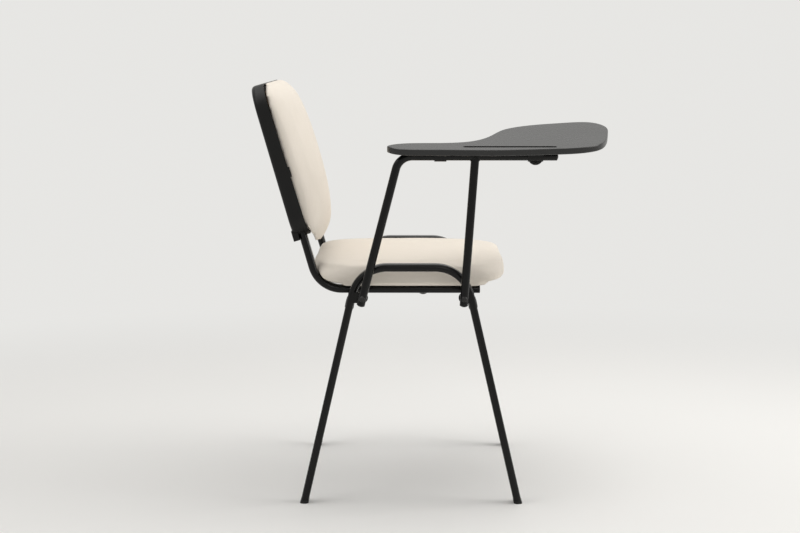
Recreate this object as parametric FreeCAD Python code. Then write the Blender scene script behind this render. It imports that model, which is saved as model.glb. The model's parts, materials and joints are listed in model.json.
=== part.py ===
import FreeCAD, Part
import math
import os

from FreeCAD import Placement, Rotation, Vector

# Driving dimensions, in millimetres and degrees.
# X runs forward, Y to the sitter's left, Z up. The pieces are drawn about the point between the four
# feet, then moved so that the origin lies on the floor under the middle of the whole chair's box.

# Flat-oval frame tube
tube_width = 30.0             # across the chair
tube_depth = 15.0             # seen from the side
tube_wall = 1.5

# Inverted-U leg frames
leg_plane = 255.0             # middle of the chair to the middle of a leg frame
foot_reach = 210.0            # middle of the chair to a foot, along X on the floor
leg_splay = 13.0              # legs off vertical
leg_bend_radius = 70.0
arch_rise = 49.0              # seat rail axis up to the arch axis

# L-shaped rails that carry the seat and the back
rail_height = 416.5           # floor to the rail axis
rail_inset = 55.0             # leg frame middle to rail middle
rail_front_run = 13.3         # front cross bar axis to the tube's front end
rail_rear_run = 62.9          # rear cross bar axis to the corner below the back
rail_bend_radius = 60.0
back_recline = 16.1
upright_length = 315.0        # corner to the top end inside the back

# Cross bars between the leg frames, under the rails
bar_slim = 0.5                # how much smaller than the frame tube, all round
saddle_depth = 0.6            # how far a rail sits into a bar

# Feet and tube plugs
foot_head = 6.0
foot_insert = 24.0
foot_lip = 0.6
plug_head = 3.0
plug_round = 1.2
plug_insert = 16.0
plug_clearance = 0.15

# Padding shared by the seat and the back
cover_thickness = 1.2
soft_gap = 0.7                # foam to cover
crown_drop = 4.0              # cushion thickness lost between its middle and its rounded sides
hem_width = 26.0              # cover turned under the board

# Seat
seat_side_gap = 9.0           # leg frame to cushion
seat_overhang = 52.0          # rail plug to the cushion's front
seat_rear_gap = 3.0           # cushion to the bend of the rail
seat_crown = 63.0             # cushion height at the crown
seat_rear_height = 53.0       # cushion height where the top meets the rear
seat_front_height = 50.0      # cushion height where the top turns down at the front
seat_front_run = 44.0         # length of that turn
seat_nose_height = 14.0       # how far the front face turns under the cushion
seat_corner = 48.0
seat_edge = 0.62              # thickness left at the side, as a share of the middle
board_thickness = 12.0
board_inset = 12.0            # board edge inside the cushion's side
board_front_inset = 40.0
board_rear_inset = 4.0
board_corner = 36.0
dust_cover_thickness = 1.0
dust_cover_margin = 1.0

# Seat and back fixings
bolt_radius = 3.0
bolt_clearance = 0.3
thread_clearance = 0.05
frame_head_radius = 9.0
frame_head_height = 3.6
t_nut_flange_radius = 9.5
t_nut_flange = 1.2
t_nut_radius = 4.0
t_nut_barrel = 8.0
seat_bolt_gap = 20.0          # rear cross bar axis to the rear seat bolts
seat_bolt_spacing = 122.0
back_bolt_drop = 25.0         # upright's top end down to the upper back bolts
back_bolt_rise = 56.0         # shell's lower edge up to the lower back bolts

# Back cushion and shell, measured along and across the uprights
back_overhang = 32.0          # rail middle to the shell's side
shell_low = 109.0             # corner to the shell's lower edge
shell_height = 307.0
shell_rear = 17.5             # upright axis back to the shell's rear face
shell_rim_low = 14.0          # upright axis forward to the rim, at the lower edge
shell_rim_high = 7.5          # the same at the upper edge
shell_wall = 2.5
shell_low_corner = 40.0
shell_high_corner = 55.0
shell_round = 8.0
shell_tail_drop = 5.0         # tails behind the tubes, below the shell
shell_tail_swell = 2.0        # how far a tail stands out behind the shell
shell_tail_side = 3.5         # tube's side to the tail's side
shell_tube_clearance = 0.4
shell_lug_height = 20.0
shell_lug_reach = 3.0
shell_lug_level = 129.0       # lower edge to the middle of a side lug
cushion_gap = 0.5             # shell to cushion
back_crown = 55.0             # cushion thickness at the crown
back_bulge = 7.6              # cushion below the shell's lower edge
back_edge = 0.55              # thickness left at the side, as a share of the middle
back_board_thickness = 10.0
back_board_inset = 12.0
screw_radius = 1.75
screw_hole = 0.1
screw_head_radius = 3.4
screw_head = 1.8
boss_radius = 5.5
boss_recess = 2.2
boss_spread = 110.0           # middle of the back to a boss
boss_low = 58.0               # lower edge to the lower bosses
boss_spacing = 190.0
shell_screw_bite = 8.0
pilot_extra = 1.0             # pilot hole past a screw's point

# Arm that carries the tablet, on the sitter's right
arm_diameter = 16.0
arm_wall = 1.5
arm_spacer = 7.0              # leg frame to arm tube
arm_bolt_drop = 8.5           # rail axis down to the arm bolts
arm_rise = 274.4              # arm bolts up to the arm rail axis
arm_rear_lean = 14.5
arm_front_lean = 4.13
arm_rear_offset = 21.7        # leg axis to rear bolt
arm_front_offset = 13.7       # leg axis to front bolt
arm_bend_radius = 32.0
arm_tail = 12.0               # bolt to the lower end of the tube
arm_overhang = 154.0          # front post to the rail's front end
arm_plug_dome = 3.0
arm_plug_rim = 1.0
arm_plug_insert = 7.0
tab_thickness = 4.0
tab_radius = 10.5
tab_weld_gap = 1.0
spacer_radius = 8.5
spacer_saddle = 2.0
arm_head_radius = 6.0
arm_head_height = 3.4
nut_flats = 10.0
nut_height = 5.0
bolt_end = 1.0                # thread showing past a nut

# Tablet, in a frame on the arm rail's axis that leans with the tablet
tablet_tilt = 8.0
tablet_lift = 10.0            # rail axis up to the underside
tablet_thickness = 12.0
tablet_round = 2.0
tablet_length = 433.0
tablet_rear = 22.0            # behind the corner of the arm tube
tablet_outer = 48.0           # rail axis to the outer edge
tablet_inner = 240.0          # rail axis to the inner edge
groove_start = 143.0          # tablet's rear end to the pen groove
groove_length = 178.0
groove_width = 12.0
groove_depth = 4.0
groove_offset = 17.0          # rail axis out to the groove

# Tablet hinge
hinge_running = 0.05          # arm rail to bush
bush_wall = 0.8
bush_seat = 0.05              # bush to strap
strap_wall = 1.2
strap_flange = 8.5
strap_width = 23.0
strap_start = 89.0            # tablet's rear end to the strap
clamp_width = 29.0
clamp_end_gap = 25.0          # clamp to the arm rail's front end
clamp_drop = 16.0             # rail axis down to the lugs' ends
clamp_lug = 3.5
clamp_slit = 2.0
clamp_bolt_radius = 1.5
clamp_bolt_drop = 13.0
clamp_hole = 0.1
clamp_head_radius = 2.8
clamp_head_height = 2.0
clamp_nut_flats = 5.5
clamp_nut_height = 2.4
screw_spread = 4.4            # strap side to a screw
screw_pitch = 13.0            # between the two screws of a flange
tablet_screw_length = 8.2
stop_offset = 48.0            # front post to the middle of the stop plate
stop_width = 40.0
stop_reach = 52.0
stop_thickness = 3.0
buffer_radius = 9.0
buffer_height = 2.8
buffer_gap = 0.2              # buffer to the tablet's underside
buffer_reach = 40.0           # rail axis to the buffer

# Values worked out from the driving dimensions
x_axis = Vector(1, 0, 0)
y_axis = Vector(0, 1, 0)
z_axis = Vector(0, 0, 1)
half_depth = tube_depth / 2
room = 4 * foot_reach         # larger than any one piece
splay_run = math.tan(math.radians(leg_splay))
leg_up = Vector(-math.sin(math.radians(leg_splay)), 0, math.cos(math.radians(leg_splay)))
arch_height = rail_height + arch_rise
rail_plane = leg_plane - rail_inset
rail_top = rail_height + half_depth
bar_radius = half_depth - bar_slim
bar_flat = (tube_width - tube_depth) / 2
bar_height = rail_height - half_depth + saddle_depth - bar_radius - bar_flat * leg_up.z
bar_x = foot_reach - bar_height * splay_run
rail_front = bar_x + rail_front_run
rail_corner = Vector(-bar_x - rail_rear_run, 0, rail_height)
recline = math.radians(back_recline)
upright = Vector(-math.sin(recline), 0, math.cos(recline))
bend_start = rail_corner.x + rail_bend_radius * math.tan((math.pi / 2 - recline) / 2)
bend_middle = rail_height + rail_bend_radius
bolt_hole = bolt_radius + bolt_clearance
back_frame = Placement(rail_corner, Rotation(y_axis, -back_recline))
stand_up = Placement(Vector(), Rotation(x_axis + z_axis, 180))
arm_radius = arm_diameter / 2
arm_y = -(leg_plane + tube_width / 2 + arm_spacer + arm_radius)
arm_bolt_height = rail_height - arm_bolt_drop
arm_rail_height = arm_bolt_height + arm_rise
cut_margin = 1.0              # how far a cut starts outside the face it opens
nodes = {}


def leg_x(height):
    return foot_reach - height * splay_run


def leg_point(fore, side, height):
    return Vector(fore * leg_x(height), side * leg_plane, height)


def oval_wire(middle, across, deep, grow):
    radius = half_depth + grow
    flat = across * ((tube_width - tube_depth) / 2)
    rise = deep * radius
    nose = across * radius
    a, b = middle - flat + rise, middle + flat + rise
    c, d = middle + flat - rise, middle - flat - rise
    right = Part.Arc(b, middle + flat + nose, c).toShape()
    left = Part.Arc(d, middle - flat - nose, a).toShape()
    return Part.Wire([Part.makeLine(a, b), right, Part.makeLine(c, d), left])


def oval_bar(start, direction, length, across, grow):
    face = Part.Face(oval_wire(start, across, direction.cross(across), grow))
    return face.extrude(direction * length)


def bent_path(points, radius):
    edges = []
    start = points[0]
    for before, corner, after in zip(points, points[1:], points[2:]):
        back = (before - corner).normalize()
        ahead = (after - corner).normalize()
        half_angle = back.getAngle(ahead) / 2
        reach = radius / math.tan(half_angle)
        inward = (back + ahead).normalize()
        middle = corner + inward * (radius / math.sin(half_angle) - radius)
        edges.append(Part.makeLine(start, corner + back * reach))
        edges.append(Part.Arc(corner + back * reach, middle, corner + ahead * reach).toShape())
        start = corner + ahead * reach
    edges.append(Part.makeLine(start, points[-1]))
    return Part.Wire(edges)


def swept_oval(points, radius, grow):
    direction = (points[1] - points[0]).normalize()
    profile = oval_wire(points[0], y_axis, direction.cross(y_axis), grow)
    return bent_path(points, radius).makePipeShell([profile], True, False)


def swept_round(points, bend, radius):
    direction = (points[1] - points[0]).normalize()
    profile = Part.Wire([Part.Circle(points[0], direction, radius).toShape()])
    return bent_path(points, bend).makePipeShell([profile], True, False)


def rod(start, direction, length, radius):
    return Part.makeCylinder(radius, length, start, direction)


def block(low, high):
    size = high - low
    return Part.makeBox(size.x, size.y, size.z, low)


def slab(low, high):
    return block(Vector(-room, -room, low), Vector(room, room, high))


def turned(start, direction, dome, points):
    # Turned about direction: a dome from the axis to the first (radius, along) point, then straight lines
    radius, along = points[0]
    ball = (radius ** 2 + dome ** 2) / (2 * dome)
    rise = ball - math.sqrt(ball ** 2 - radius ** 2 / 4)
    apex = Vector(0, 0, along - dome)
    corners = [Vector(r, 0, a) for r, a in points] + [Vector(0, 0, points[-1][1]), apex]
    edges = [Part.Arc(apex, apex + Vector(radius / 2, 0, rise), corners[0]).toShape()]
    edges += [Part.makeLine(a, b) for a, b in zip(corners, corners[1:])]
    solid = Part.Face(Part.Wire(edges)).revolve(Vector(), z_axis, 360)
    return solid.transformed(Placement(start, Rotation(z_axis, direction)).toMatrix())


def dome_bolt(seat, direction, length, radius, head_radius, head_height):
    # Shank along direction from the seat, with a domed head behind it
    return turned(seat, direction, head_height, [(head_radius, 0), (radius, 0), (radius, length)])


def t_nut(seat, direction):
    # Flange on the far face of a board, barrel back along direction
    flange = rod(seat, direction, t_nut_flange, t_nut_flange_radius)
    barrel = rod(seat, direction, t_nut_flange + t_nut_barrel, t_nut_radius)
    bore = rod(seat, direction, t_nut_flange + t_nut_barrel, bolt_radius + thread_clearance)
    return flange.fuse(barrel).cut(bore).removeSplitter()


def hex_nut(seat, direction, flats, height, bore):
    corner = flats / math.sqrt(3)
    angles = [math.radians(60 * step + 30) for step in range(6)]
    points = [Vector(corner * math.cos(angle), corner * math.sin(angle), 0) for angle in angles]
    nut = Part.Face(Part.makePolygon(points + points[:1])).extrude(z_axis * height)
    nut = nut.cut(Part.makeCylinder(bore, height))
    return nut.transformed(Placement(seat, Rotation(z_axis, direction)).toMatrix())


def rounded_plate(low, high, corners, base, thickness):
    # Plate in X and Y with one corner radius for its low-X side and one for its high-X side
    (x0, y0), (x1, y1) = low, high
    r0, r1 = corners
    k = 1 - math.sqrt(0.5)

    def at(x, y):
        return Vector(x, y, base)

    edges = [
        Part.makeLine(at(x0 + r0, y0), at(x1 - r1, y0)),
        Part.Arc(at(x1 - r1, y0), at(x1 - r1 * k, y0 + r1 * k), at(x1, y0 + r1)).toShape(),
        Part.makeLine(at(x1, y0 + r1), at(x1, y1 - r1)),
        Part.Arc(at(x1, y1 - r1), at(x1 - r1 * k, y1 - r1 * k), at(x1 - r1, y1)).toShape(),
        Part.makeLine(at(x1 - r1, y1), at(x0 + r0, y1)),
        Part.Arc(at(x0 + r0, y1), at(x0 + r0 * k, y1 - r0 * k), at(x0, y1 - r0)).toShape(),
        Part.makeLine(at(x0, y1 - r0), at(x0, y0 + r0)),
        Part.Arc(at(x0, y0 + r0), at(x0 + r0 * k, y0 + r0 * k), at(x0 + r0, y0)).toShape(),
    ]
    return Part.Face(Part.Wire(edges)).extrude(z_axis * thickness)


def pillow(segments, size, half_width, corner, edge, shrink):
    # Cushion lofted across its width: each section is the middle profile of (along, up) points,
    # drawn in by the corner radius along its length and thinned towards the sides
    low = min(point[0] for segment in segments for point in segment)
    high = max(point[0] for segment in segments for point in segment)
    middle = (low + high) / 2
    turns = [90, 68, 45, 22, 0]
    places = [(-1, turn) for turn in turns] + [(0, 0)] + [(1, turn) for turn in reversed(turns)]
    wires = []
    for side, turn in places:
        angle = math.radians(turn)
        y = side * (half_width - shrink - corner * (1 - math.sin(angle)))
        drawn_in = shrink + corner * (1 - math.cos(angle))
        along = 1 - 2 * drawn_in / (high - low)
        thinned = abs(side) * crown_drop + size * (1 - edge) * (1 - math.cos(angle))
        up = 1 - (thinned + 2 * shrink) / size

        def at(point):
            return Vector(middle + (point[0] - middle) * along, y, shrink + point[1] * up)

        edges = []
        for segment in segments:
            if len(segment) == 2:
                edges.append(Part.makeLine(at(segment[0]), at(segment[1])))
            else:
                edges.append(Part.Arc(*[at(point) for point in segment]).toShape())
        wires.append(Part.Wire(edges))
    return Part.makeLoft(wires, True, True)


def in_back(shape):
    return shape.transformed(back_frame.toMatrix())


# Frame: leg frames, cross bars and rails
leg_solids = []
for side, name in ((-1, "right"), (1, "left")):
    arch = [Vector(fore * leg_x(arch_height), side * leg_plane, arch_height) for fore in (-1, 1)]
    route = [leg_point(-1, side, -tube_depth), *arch, leg_point(1, side, -tube_depth)]
    outside = swept_oval(route, leg_bend_radius, 0)
    inside = swept_oval(route, leg_bend_radius, -tube_wall)
    below = slab(-2 * tube_depth, foot_head)
    leg_solids.append(outside)
    nodes["leg_frame_" + name] = outside.cut(inside).cut(below)
    for fore, end in ((-1, "rear"), (1, "front")):
        low = leg_point(fore, side, -tube_depth)
        up = Vector(fore * leg_up.x, 0, leg_up.z)
        reach = foot_head + foot_insert + 2 * tube_depth
        head = oval_bar(low, up, reach, y_axis, foot_lip).common(slab(0, foot_head))
        insert = oval_bar(low, up, reach, y_axis, -tube_wall - plug_clearance)
        insert = insert.common(slab(foot_head, foot_head + foot_insert))
        nodes["foot_cap_" + end + "_" + name] = head.fuse(insert).removeSplitter()

rail_solids = []
seat_bolt_x = [-bar_x + seat_bolt_gap + step * seat_bolt_spacing for step in range(2)]
back_bolt_w = [upright_length - back_bolt_drop, shell_low + back_bolt_rise]
for side, name in ((-1, "right"), (1, "left")):
    offset = y_axis * (side * rail_plane)
    front = Vector(rail_front, 0, rail_height) + offset
    route = [front, rail_corner + offset, rail_corner + offset + upright * upright_length]
    outside = swept_oval(route, rail_bend_radius, 0)
    inside = swept_oval(route, rail_bend_radius, -tube_wall)
    rail = outside.cut(inside)
    for x in seat_bolt_x:
        rail = rail.cut(rod(Vector(x, front.y, 0), z_axis, room, bolt_hole))
    for w in back_bolt_w:
        bore = rod(Vector(-tube_depth, front.y, w), x_axis, 2 * tube_depth, bolt_hole)
        rail = rail.cut(in_back(bore))
    rail_solids.append(outside)
    nodes["seat_back_rail_" + name] = rail
    head = oval_bar(front, x_axis, plug_head, y_axis, 0)
    rim = [edge for edge in head.Edges if edge.BoundBox.XMin > rail_front + plug_head / 2]
    head = head.makeFillet(plug_round, rim)
    insert = oval_bar(front, x_axis * -1, plug_insert, y_axis, -tube_wall - plug_clearance)
    nodes["rail_plug_" + name] = head.fuse(insert)

bar_end = leg_plane - bar_flat
for fore, name in ((-1, "rear"), (1, "front")):
    across = Vector(fore * leg_up.x, 0, leg_up.z)
    start = Vector(fore * bar_x, -bar_end, bar_height)
    bar = oval_bar(start, y_axis, 2 * bar_end, across, -bar_slim)
    bar = bar.cut(oval_bar(start, y_axis, 2 * bar_end, across, -bar_slim - tube_wall))
    for solid in leg_solids + rail_solids:
        bar = bar.cut(solid)
    nodes[name + "_cross_bar"] = bar

# Seat: side profile as (X, height above the rails), then board, foam, cover and fixings
seat_half = leg_plane - tube_width / 2 - seat_side_gap
seat_front = rail_front + plug_head + seat_overhang
seat_swing = rail_bend_radius - half_depth - seat_rear_gap


def seat_rear_point(degrees):
    angle = math.radians(degrees)
    x = bend_start - seat_swing * math.sin(angle)
    return x, bend_middle - seat_swing * math.cos(angle) - rail_top


rear_under = (bend_start, 0)
rear_knee = seat_rear_point(75)
rear_turn = (bend_start - seat_swing * 0.94, seat_rear_height * 0.91)
rear_top = (bend_start - seat_swing * 0.79, seat_rear_height)
front_turn = (seat_front - seat_front_run, seat_front_height)
front_round = (seat_front - seat_nose_height * 1.4, seat_front_height * 0.8)
front_nose = (seat_front, seat_front_height * 0.45)
front_lip = (seat_front - seat_nose_height * 0.11, seat_nose_height * 0.56)
front_under = (seat_front - seat_nose_height, 0)
seat_profile = [
    [rear_under, seat_rear_point(38), rear_knee],
    [rear_knee, rear_turn, rear_top],
    [rear_top, ((rear_top[0] + front_turn[0]) / 2, seat_crown), front_turn],
    [front_turn, front_round, front_nose],
    [front_nose, front_lip, front_under],
    [front_under, rear_under],
]


def seat_pillow(shrink):
    cushion = pillow(seat_profile, seat_crown, seat_half, seat_corner, seat_edge, shrink)
    cushion.translate(z_axis * rail_top)
    return cushion


board_low = rail_top + cover_thickness
board_half = seat_half - board_inset
board_rear = bend_start + board_rear_inset
board_front = seat_front - board_front_inset
plate_low, plate_high = (board_rear, -board_half), (board_front, board_half)
board_corners = (board_corner, board_corner)
board_blank = rounded_plate(plate_low, plate_high, board_corners, board_low, board_thickness)
hem_low = (board_rear + hem_width, -board_half + hem_width)
hem_high = (board_front - hem_width, board_half - hem_width)
hem_depth = cover_thickness + 2 * cut_margin
hem_opening = rounded_plate(hem_low, hem_high, board_corners, rail_top - cut_margin, hem_depth)
seat_cover = seat_pillow(0).cut(seat_pillow(cover_thickness)).cut(hem_opening)
nodes["seat_foam"] = seat_pillow(cover_thickness + soft_gap).cut(board_blank)
dust_low = (hem_low[0] + dust_cover_margin, hem_low[1] + dust_cover_margin)
dust_high = (hem_high[0] - dust_cover_margin, hem_high[1] - dust_cover_margin)
dust_base = board_low - dust_cover_thickness
dust_cover = rounded_plate(dust_low, dust_high, board_corners, dust_base, dust_cover_thickness)

seat_bolts, seat_nuts = [], []
board = board_blank
seat_bolt_length = tube_depth + cover_thickness + board_thickness - t_nut_flange
for side in (-1, 1):
    for x in seat_bolt_x:
        under = Vector(x, side * rail_plane, rail_height - half_depth)
        head = (frame_head_radius, frame_head_height)
        seat_bolts.append(dome_bolt(under, z_axis, seat_bolt_length, bolt_radius, *head))
        top = Vector(x, side * rail_plane, board_low + board_thickness)
        seat_nuts.append(t_nut(top, z_axis * -1))
        board = board.cut(rod(top, z_axis * -1, board_thickness, t_nut_radius))
        board = board.cut(rod(top, z_axis * -1, t_nut_flange, t_nut_flange_radius))
        hem_hole = rod(under, z_axis, board_low - under.z, bolt_hole)
        seat_cover = seat_cover.cut(hem_hole)
        dust_cover = dust_cover.cut(hem_hole)
nodes["seat_board"] = board
nodes["seat_cover"] = seat_cover
nodes["seat_dust_cover"] = dust_cover
nodes["seat_t_nuts"] = Part.makeCompound(seat_nuts)
nodes["seat_bolts"] = Part.makeCompound(seat_bolts)

# Back: cushion profile as (up the upright, forward of the tube), shell, board and fixings
shell_half = rail_plane + back_overhang
shell_high = shell_low + shell_height
back_half = shell_half - shell_wall - cushion_gap
cushion_low = shell_low + shell_wall + cushion_gap
low_end = (cushion_low, 0)
low_rim = (cushion_low, shell_rim_low + cushion_gap - half_depth)
low_bulge = (shell_low - back_bulge, back_crown * 0.28)
low_turn = (cushion_low - back_crown * 0.11, back_crown * 0.51)
low_front = (cushion_low + back_crown * 0.44, back_crown * 0.815)
front_low = (shell_low + shell_height * 0.29, back_crown * 0.985)
front_middle = (shell_low + shell_height * 0.57, back_crown * 0.965)
front_high = (shell_high - back_crown, back_crown * 0.86)
top_turn = (shell_high - back_crown * 0.47, back_crown * 0.735)
top_front = (shell_high - back_crown * 0.11, back_crown * 0.55)
top_nose = (shell_high + back_crown * 0.03, back_crown * 0.31)
top_lip = (shell_high + back_crown * 0.035, back_crown * 0.055)
top_end = (shell_high - back_crown * 0.06, 0)
back_profile = [
    [low_end, low_rim],
    [low_rim, low_bulge, low_turn],
    [low_turn, low_front, front_low],
    [front_low, front_middle, front_high],
    [front_high, top_turn, top_front],
    [top_front, top_nose, top_lip],
    [top_lip, top_end],
    [top_end, low_end],
]


def back_pillow(shrink):
    cushion = pillow(back_profile, back_crown, back_half, shell_high_corner, back_edge, shrink)
    return cushion.transformed(stand_up.toMatrix()).translated(x_axis * half_depth)


def standing_plate(half_width, low, high, corners, rear, depth):
    # Plate in Y and up the upright, from rear forward by depth
    plate = rounded_plate((low, -half_width), (high, half_width), corners, rear, depth)
    return plate.transformed(stand_up.toMatrix())


def pan(grow, rear):
    corners = (shell_low_corner + grow, shell_high_corner + grow)
    depth = rear + shell_rim_low
    span = (shell_low - grow, shell_high + grow)
    plate = standing_plate(shell_half + grow, *span, corners, -rear, depth)
    rim = [edge for edge in plate.Edges if edge.BoundBox.XMax < -rear / 2]
    return plate.makeFillet(shell_round + grow, rim)


shell = pan(0, shell_rear).cut(pan(-shell_wall, shell_rear - shell_wall))
rim_cut = Part.Face(Part.makePolygon([
    Vector(shell_rim_low, 0, shell_low),
    Vector(shell_rim_high, 0, shell_high),
    Vector(shell_rim_low + cut_margin, 0, shell_high),
    Vector(shell_rim_low + cut_margin, 0, shell_low),
    Vector(shell_rim_low, 0, shell_low),
])).extrude(y_axis * room)
shell = shell.cut(rim_cut.translated(y_axis * (-room / 2)))
for side in (-1, 1):
    middle = Vector(0, side * rail_plane, shell_low)
    tail_half = Vector(0, tube_width / 2 + shell_tail_side, 0)
    low = middle - tail_half - Vector(shell_rear + shell_tail_swell, 0, shell_tail_drop)
    high = middle + tail_half + Vector(-half_depth, 0, 2 * shell_round)
    shell = shell.fuse(block(low, high))
    corner = Vector(0, middle.y, 0)
    shell = shell.cut(oval_bar(corner, z_axis, upright_length, y_axis, shell_tube_clearance))
    outer = side * shell_half
    inner = side * (shell_half - shell_wall)
    level = shell_low + shell_lug_level
    rim_level = shell_rim_low + (shell_rim_high - shell_rim_low) * shell_lug_level / shell_height
    low = Vector(0, min(outer, inner), level - shell_lug_height / 2)
    high = Vector(rim_level + shell_lug_reach, max(outer, inner), level + shell_lug_height / 2)
    shell = shell.fuse(block(low, high))

cushion_rear = half_depth
board_rear_u = cushion_rear + cover_thickness
inset = back_board_inset + shell_wall
board_low_w, board_high_w = shell_low + inset, shell_high - inset
back_board_half = shell_half - inset
back_span = (board_low_w, board_high_w)
back_blank = standing_plate(
    back_board_half, *back_span, board_corners, board_rear_u, back_board_thickness)
opening_half = back_board_half - hem_width
opening_span = (board_low_w + hem_width, board_high_w - hem_width)
back_opening = standing_plate(opening_half, *opening_span, board_corners, 0, board_rear_u + cut_margin)
back_cover = back_pillow(0).cut(back_pillow(cover_thickness)).cut(back_opening)
back_foam = back_pillow(cover_thickness + soft_gap).cut(back_blank)
back_board = back_blank
back_bolts, back_nuts, shell_screws = [], [], []
back_bolt_length = tube_depth + cover_thickness + back_board_thickness - t_nut_flange
for side in (-1, 1):
    for w in back_bolt_w:
        rear = Vector(-half_depth, side * rail_plane, w)
        head = (frame_head_radius, frame_head_height)
        back_bolts.append(in_back(dome_bolt(rear, x_axis, back_bolt_length, bolt_radius, *head)))
        front = Vector(board_rear_u + back_board_thickness, rear.y, w)
        back_nuts.append(in_back(t_nut(front, x_axis * -1)))
        back_board = back_board.cut(rod(front, x_axis * -1, back_board_thickness, t_nut_radius))
        back_board = back_board.cut(rod(front, x_axis * -1, t_nut_flange, t_nut_flange_radius))
        back_cover = back_cover.cut(rod(rear, x_axis, board_rear_u - rear.x, bolt_hole))
    for step in range(2):
        boss_level = shell_low + boss_low + step * boss_spacing
        foot = Vector(-shell_rear + shell_wall / 2, side * boss_spread, boss_level)
        boss_length = board_rear_u - foot.x
        shell = shell.fuse(rod(foot, x_axis, boss_length, boss_radius))
        rear = Vector(-shell_rear, foot.y, foot.z)
        shell = shell.cut(rod(rear, x_axis, room, screw_radius + screw_hole))
        shell = shell.cut(rod(rear, x_axis, boss_recess, screw_head_radius + 2 * screw_hole))
        seat = rear + x_axis * boss_recess
        length = board_rear_u + shell_screw_bite - seat.x
        head = (screw_head_radius, screw_head)
        shell_screws.append(in_back(dome_bolt(seat, x_axis, length, screw_radius, *head)))
        pilot = Vector(board_rear_u, foot.y, foot.z)
        pilot_depth = shell_screw_bite + pilot_extra
        back_board = back_board.cut(rod(pilot, x_axis, pilot_depth, screw_radius + screw_hole))
nodes["back_shell"] = in_back(shell.removeSplitter())
nodes["back_board"] = in_back(back_board)
nodes["back_foam"] = in_back(back_foam)
nodes["back_cover"] = in_back(back_cover)
nodes["back_bolts"] = Part.makeCompound(back_bolts)
nodes["back_t_nuts"] = Part.makeCompound(back_nuts)
nodes["shell_screws"] = Part.makeCompound(shell_screws)

# Arm: bent tube, front post, tabs on the legs and their fixings
rear_lean = math.radians(arm_rear_lean)
front_lean = math.radians(arm_front_lean)
rear_up = Vector(math.sin(rear_lean), 0, math.cos(rear_lean))
front_up = Vector(math.sin(front_lean), 0, math.cos(front_lean))
rear_bolt = Vector(-leg_x(arm_bolt_height) + arm_rear_offset, arm_y, arm_bolt_height)
front_bolt = Vector(leg_x(arm_bolt_height) - arm_front_offset, arm_y, arm_bolt_height)
arm_corner = rear_bolt + rear_up * (arm_rise / rear_up.z)
post_top = front_bolt + front_up * (arm_rise / front_up.z)
rail_end = post_top + x_axis * arm_overhang
rear_end = rear_bolt - rear_up * arm_tail
front_end = front_bolt - front_up * arm_tail
arm_route = [rear_end, arm_corner, rail_end]
arm_solid = swept_round(arm_route, arm_bend_radius, arm_radius)
arm_tube = arm_solid.cut(swept_round(arm_route, arm_bend_radius, arm_radius - arm_wall))
post_length = (post_top - front_end).Length
post_solid = rod(front_end, front_up, post_length, arm_radius)
post = post_solid.cut(rod(front_end, front_up, post_length, arm_radius - arm_wall)).cut(arm_solid)

tab_outer = -(leg_plane + tube_width / 2)
tab_inner = tab_outer + tab_thickness
spacers, arm_bolts, arm_nuts = [], [], []
arm_feet = ((-1, "rear", rear_bolt, arm_solid), (1, "front", front_bolt, post_solid))
for fore, name, bolt, tube in arm_feet:
    hole = rod(Vector(bolt.x, -room, bolt.z), y_axis, room, bolt_hole)
    roots = []
    for level in (-tab_radius, tab_radius):
        root = leg_point(fore, -1, bolt.z + level) - x_axis * (fore * tab_weld_gap)
        roots.append(Vector(root.x, tab_outer, root.z))
    low_end = Vector(bolt.x, tab_outer, bolt.z - tab_radius)
    high_end = Vector(bolt.x, tab_outer, bolt.z + tab_radius)
    plate = Part.Face(Part.makePolygon([roots[0], low_end, high_end, roots[1], roots[0]]))
    plate = plate.extrude(y_axis * tab_thickness)
    nose = rod(Vector(bolt.x, tab_outer, bolt.z), y_axis, tab_thickness, tab_radius)
    tab = plate.fuse(nose).cut(leg_solids[0]).cut(hole).removeSplitter()
    nodes["arm_tab_" + name] = tab
    spacer_foot = Vector(bolt.x, tab_outer, bolt.z)
    spacer = rod(spacer_foot, y_axis * -1, arm_spacer + spacer_saddle, spacer_radius)
    spacers.append(spacer.cut(tube).cut(hole))
    seat = bolt - y_axis * arm_radius
    length = tab_inner + nut_height + bolt_end - seat.y
    arm_bolts.append(dome_bolt(seat, y_axis, length, bolt_radius, arm_head_radius, arm_head_height))
    nut_seat = Vector(bolt.x, tab_inner, bolt.z)
    arm_nuts.append(hex_nut(nut_seat, y_axis, nut_flats, nut_height, bolt_radius + thread_clearance))
    if name == "rear":
        arm_tube = arm_tube.cut(hole)
    else:
        post = post.cut(hole)
nodes["arm_tube"] = arm_tube
nodes["arm_post"] = post
nodes["arm_spacers"] = Part.makeCompound(spacers)
nodes["arm_bolts"] = Part.makeCompound(arm_bolts)
nodes["arm_nuts"] = Part.makeCompound(arm_nuts)

plug_ends = (
    ("rear", rear_end, rear_up * -1),
    ("front", front_end, front_up * -1),
    ("rail", rail_end, x_axis),
)
for name, end, outward in plug_ends:
    bore = arm_radius - arm_wall - plug_clearance
    profile = [(arm_radius, -arm_plug_rim), (arm_radius, 0), (bore, 0), (bore, arm_plug_insert)]
    nodes["arm_plug_" + name] = turned(end, outward * -1, arm_plug_dome, profile)

# Tablet and hinge, in a frame with X along the arm rail and Z square to the tablet
tablet_frame = Placement(Vector(0, arm_y, arm_rail_height), Rotation(x_axis, tablet_tilt))
tablet_start = arm_corner.x - tablet_rear


def in_tablet(shape):
    return shape.transformed(tablet_frame.toMatrix())


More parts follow.
